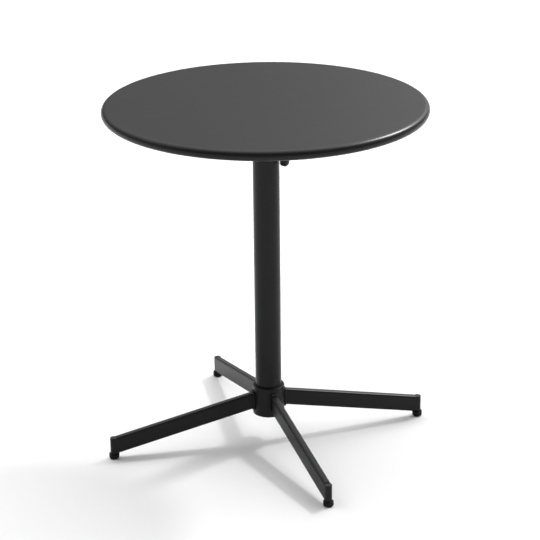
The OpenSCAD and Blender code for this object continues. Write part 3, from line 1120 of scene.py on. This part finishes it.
class BISTRO_OT_latch(Operator):
    """Winds the torsion spring and moulds the ribbed grip of the latch lever"""

    bl_idname = "bistro.latch"
    bl_label = "Latch"

    def execute(self, context):
        half = span("latch_grip").y / 2
        wind_spring()
        mould_grip(half)
        rib_grip(half)
        return {"FINISHED"}


# ---- studio ---------------------------------------------------------------------------------


# Where the lights come from: degrees round from the camera and degrees above the horizon.
KEY_FROM = (131.0, 48.0)
STRIP_FROM = (125.0, 45.0)
GLOW_FROM = (156.0, 22.0)
LIGHTS_AIM = Vector((0.0, 0.0, 0.4))

# How the sky's parts fade: the walls and the ceiling from the table's far side towards the
# camera's, the ceiling from low to high, and the glow from its edge to its middle.
WALL_FADE = (-0.3, 0.6)
CEILING_FADE = (-0.1, 0.45)
CEILING_RISE = (0.27, 0.9)
GLOW_EDGE = (0.915, 0.985)


def aim_camera():
    """Stands the camera where the table is looked at from."""
    studio = settings().studio
    away = Vector((math.sin(studio.azimuth), -math.cos(studio.azimuth), 0.0))
    heading = studio.azimuth + studio.pan
    forward = Vector((
        -math.sin(heading) * math.cos(studio.pitch),
        math.cos(heading) * math.cos(studio.pitch),
        -math.sin(studio.pitch),
    ))
    right = forward.cross(UP).normalized()
    above = right.cross(forward)
    turn = Matrix((right, above, -forward)).transposed() @ Matrix.Rotation(studio.roll, 3, "Z")
    camera = bpy.data.cameras.new("camera")
    camera.lens = studio.lens
    camera.sensor_width = 36.0
    camera.clip_end = 50.0
    stand = bpy.data.objects.new("camera", camera)
    bpy.context.scene.collection.objects.link(stand)
    place = away * studio.distance + UP * studio.height
    stand.matrix_world = Matrix.Translation(place) @ turn.to_4x4()
    bpy.context.scene.camera = stand


def facing_from(azimuth, elevation):
    """Unit vector towards a light, by degrees round from the camera and above the horizon."""
    heading = settings().studio.azimuth + math.radians(azimuth)
    rise = math.radians(elevation)
    return Vector((
        math.sin(heading) * math.cos(rise), -math.cos(heading) * math.cos(rise), math.sin(rise)
    ))


def stand_light(name, light, direction, distance):
    """Stands a light so that it faces the table from a direction round the camera's own."""
    stand = bpy.data.objects.new(name, light)
    bpy.context.scene.collection.objects.link(stand)
    back = facing_from(*direction)
    turn = back.to_track_quat("Z", "Y").to_matrix().to_4x4()
    stand.matrix_world = Matrix.Translation(LIGHTS_AIM + back * distance) @ turn
    stand.visible_camera = False
    return stand


def hang_lights():
    """An even key light from behind on the right, and a strip that draws a highlight on the rim."""
    studio = settings().studio
    key = bpy.data.lights.new("key", "SUN")
    key.energy = studio.key
    key.angle = studio.key_softness
    stand_light("key", key, KEY_FROM, 4.0).visible_glossy = False
    strip = bpy.data.lights.new("strip", "AREA")
    strip.energy = studio.strip
    strip.shape = "SQUARE"
    strip.size = studio.strip_size
    stand_light("strip", strip, STRIP_FROM, 3.0).visible_diffuse = False


def light_sky():
    """White surroundings, dark behind the camera and brightest overhead, as in a studio."""
    studio = settings().studio
    world = bpy.data.worlds.new("studio_sky")
    bpy.context.scene.world = world
    world.use_nodes = True
    tree = world.node_tree
    tree.nodes.clear()
    place = add(tree, "ShaderNodeTexCoord")
    facing = add(tree, "ShaderNodeVectorMath", operation="DOT_PRODUCT")
    facing.inputs[1].default_value = (math.sin(studio.azimuth), -math.cos(studio.azimuth), 0.0)
    split = add(tree, "ShaderNodeSeparateXYZ")
    walls = ranged(tree, facing.outputs["Value"], studio.back_wall, studio.front_wall, *WALL_FADE)
    height = ranged(tree, split.outputs["Z"], 0.0, studio.ceiling, *CEILING_RISE)
    depth = ranged(tree, facing.outputs["Value"], 1.0, 0.0, *CEILING_FADE)
    ceiling = math_node(tree, "MULTIPLY", height, depth)
    toward = add(tree, "ShaderNodeVectorMath", operation="DOT_PRODUCT")
    toward.inputs[1].default_value = facing_from(*GLOW_FROM)
    glow = ranged(tree, toward.outputs["Value"], 0.0, studio.glow, *GLOW_EDGE)
    surround = add(tree, "ShaderNodeBackground")
    seen = add(tree, "ShaderNodeBackground")
    ray = add(tree, "ShaderNodeLightPath")
    mixed = add(tree, "ShaderNodeMixShader")
    out = add(tree, "ShaderNodeOutputWorld")
    wire_up(
        tree,
        (place.outputs["Generated"], facing.inputs[0]),
        (place.outputs["Generated"], split.inputs[0]),
        (place.outputs["Generated"], toward.inputs[0]),
        (
            math_node(tree, "ADD", math_node(tree, "ADD", walls, ceiling), glow),
            surround.inputs["Strength"],
        ),
        (ray.outputs["Is Camera Ray"], mixed.inputs[0]),
        (surround.outputs[0], mixed.inputs[1]),
        (seen.outputs[0], mixed.inputs[2]),
        (mixed.outputs[0], out.inputs["Surface"]),
    )
    surround.inputs["Color"].default_value = (1.0, 1.0, 1.0, 1.0)
    seen.inputs["Color"].default_value = (1.0, 1.0, 1.0, 1.0)


def lay_floor():
    """A plain white floor, far wider than the table."""
    half = 14.0
    floor = raw_piece(
        "floor",
        [(-half, -half, 0.0), (half, -half, 0.0), (half, half, 0.0), (-half, half, 0.0)],
        (),
        [(0, 1, 2, 3)],
    )
    white = settings().studio.floor
    material, tree, shader = new_finish("studio_floor", (white, white, white), 0.85)
    shader.inputs["Specular IOR Level"].default_value = 0.0
    floor.data.materials.append(material)


class BISTRO_OT_stage(Operator):
    """Sets up the camera, the pale floor and the soft studio lights"""

    bl_idname = "bistro.stage"
    bl_label = "Studio"

    def execute(self, context):
        bpy.context.scene.view_settings.view_transform = "Standard"
        aim_camera()
        lay_floor()
        light_sky()
        hang_lights()
        return {"FINISHED"}


class BISTRO_PT_panel(Panel):
    """Lists the table's settings and the steps that build it"""

    bl_label = "Bistro Table"
    bl_idname = "BISTRO_PT_panel"
    bl_space_type = "VIEW_3D"
    bl_region_type = "UI"
    bl_category = "Bistro Table"

    def draw(self, context):
        table = context.scene.bistro_table
        for group in (table.sizes, table.finishes, table.studio):
            box = self.layout.box()
            for name in group.__annotations__:
                box.prop(group, name)
        for step in STEPS:
            self.layout.operator(step.bl_idname)


GROUPS = (BistroSizes, BistroFinishes, BistroStudio, BistroTable)
STEPS = (
    BISTRO_OT_stage,
    BISTRO_OT_finishes,
    BISTRO_OT_tray,
    BISTRO_OT_column,
    BISTRO_OT_leg_ends,
    BISTRO_OT_feet,
    BISTRO_OT_welds,
    BISTRO_OT_head,
    BISTRO_OT_latch,
)


def register():
    """Adds the table's classes and its settings to Blender."""
    for cls in (*GROUPS, *STEPS, BISTRO_PT_panel):
        bpy.utils.register_class(cls)
    bpy.types.Scene.bistro_table = PointerProperty(type=BistroTable)


def unregister():
    """Takes the table's classes and settings out again."""
    del bpy.types.Scene.bistro_table
    for cls in reversed((*GROUPS, *STEPS, BISTRO_PT_panel)):
        bpy.utils.unregister_class(cls)


def main():
    """Builds the whole table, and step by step."""
    register()
    for step in STEPS:
        group, action = step.bl_idname.split(".")
        getattr(getattr(bpy.ops, group), action)()


if __name__ == "__main__":
    main()
